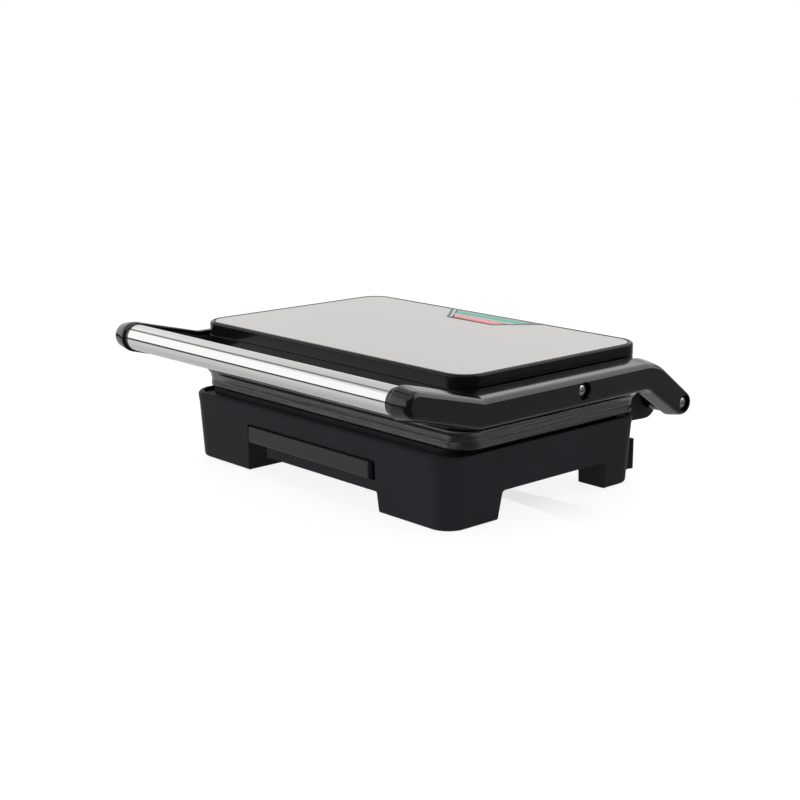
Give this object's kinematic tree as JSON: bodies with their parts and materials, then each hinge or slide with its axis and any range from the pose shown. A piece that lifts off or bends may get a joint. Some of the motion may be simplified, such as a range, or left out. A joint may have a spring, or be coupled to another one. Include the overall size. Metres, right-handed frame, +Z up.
{
  "type": "panini press",
  "caption": "Compact panini press with ribbed plates, a floating steel-topped upper casing, bent arms, a tube handle and a front drip tray.",
  "frame": {"origin": "on the table, under the middle of the whole closed press", "axes": "+X to the right as seen from the handle side, -Y towards the handle side, +Z up"},
  "size_m": [0.288, 0.2566, 0.097],
  "materials": {
    "moulded_black": "satin",
    "gloss_black": "gloss",
    "cast_plate": "satin",
    "brushed_cover": "satin",
    "polished_tube": "polished",
    "zinc_screws": "satin",
    "heater_sheath": "satin",
    "sheet_metal": "satin",
    "brass_inserts": "satin",
    "rubber_black": "matte",
    "white_plastic": "matte",
    "bezel_grey": "satin",
    "lens_green": "gloss",
    "lens_red": "gloss",
    "lamp_glass": "clear",
    "board_green": "satin",
    "lead_red": "matte"
  },
  "bodies": {
    "base": {"base_casing": "moulded_black", "base_bottom_cover": "moulded_black", "rubber_feet": "rubber_black", "base_cover_screws": "zinc_screws", "lower_grill_plate": "cast_plate", "lower_plate_screws": "zinc_screws", "lower_heating_element": "heater_sheath", "lower_element_clamps": "sheet_metal", "lower_clamp_screws": "zinc_screws", "lower_heat_shield": "sheet_metal", "thermostat": "white_plastic", "thermal_fuse": "sheet_metal", "terminal_block": "white_plastic", "cord_grommet": "rubber_black", "cord_clamp": "moulded_black", "cord_clamp_screws": "zinc_screws", "cord_cleats": "moulded_black", "cord_cleat_screws": "zinc_screws", "hinge_inserts": "brass_inserts", "hinge_washers": "moulded_black", "hinge_screws": "zinc_screws"},
    "arms": {"arm_left": "gloss_black", "arm_right": "gloss_black", "arm_cover_left": "moulded_black", "arm_cover_right": "moulded_black", "arm_cover_screws": "zinc_screws", "handle_tube": "polished_tube", "handle_rod": "zinc_screws", "handle_collar_left": "gloss_black", "handle_collar_right": "gloss_black", "handle_inserts": "brass_inserts", "lid_wiring": "lead_red"},
    "upper_grill": {"upper_casing": "gloss_black", "upper_casing_top": "gloss_black", "upper_casing_screws": "zinc_screws", "steel_cover": "brushed_cover", "indicator_bezel": "bezel_grey", "indicator_lens_green": "lens_green", "indicator_lens_red": "lens_red", "indicator_lamps": "lamp_glass", "lamp_carrier": "board_green", "upper_grill_plate": "cast_plate", "upper_plate_screws": "zinc_screws", "upper_heating_element": "heater_sheath", "upper_element_clamps": "sheet_metal", "upper_clamp_screws": "zinc_screws", "upper_heat_shield": "sheet_metal", "lid_pivot_inserts": "brass_inserts", "lid_pivot_washers": "moulded_black", "lid_pivot_screws": "zinc_screws"},
    "tray": {"drip_tray": "moulded_black"}
  },
  "joints": [
    {"name": "lid_hinge", "type": "hinge", "parent": "base", "child": "arms", "pos_m": [0, 0.11725, 0.0515], "axis": [-1, 0, 0], "range_deg": [0, 180]},
    {"name": "upper_tilt", "type": "hinge", "parent": "arms", "child": "upper_grill", "pos_m": [0, 0.01825, 0.0748], "axis": [1, 0, 0], "range_deg": [0, 3.6]},
    {"name": "tray_slide", "type": "slide", "parent": "base", "child": "tray", "axis": [0, -1, 0], "range_m": [0, 0.1]}
  ],
  "couplings": [
    {"joint": "upper_tilt", "follows": "lid_hinge", "ratio": 0.02}
  ]
}
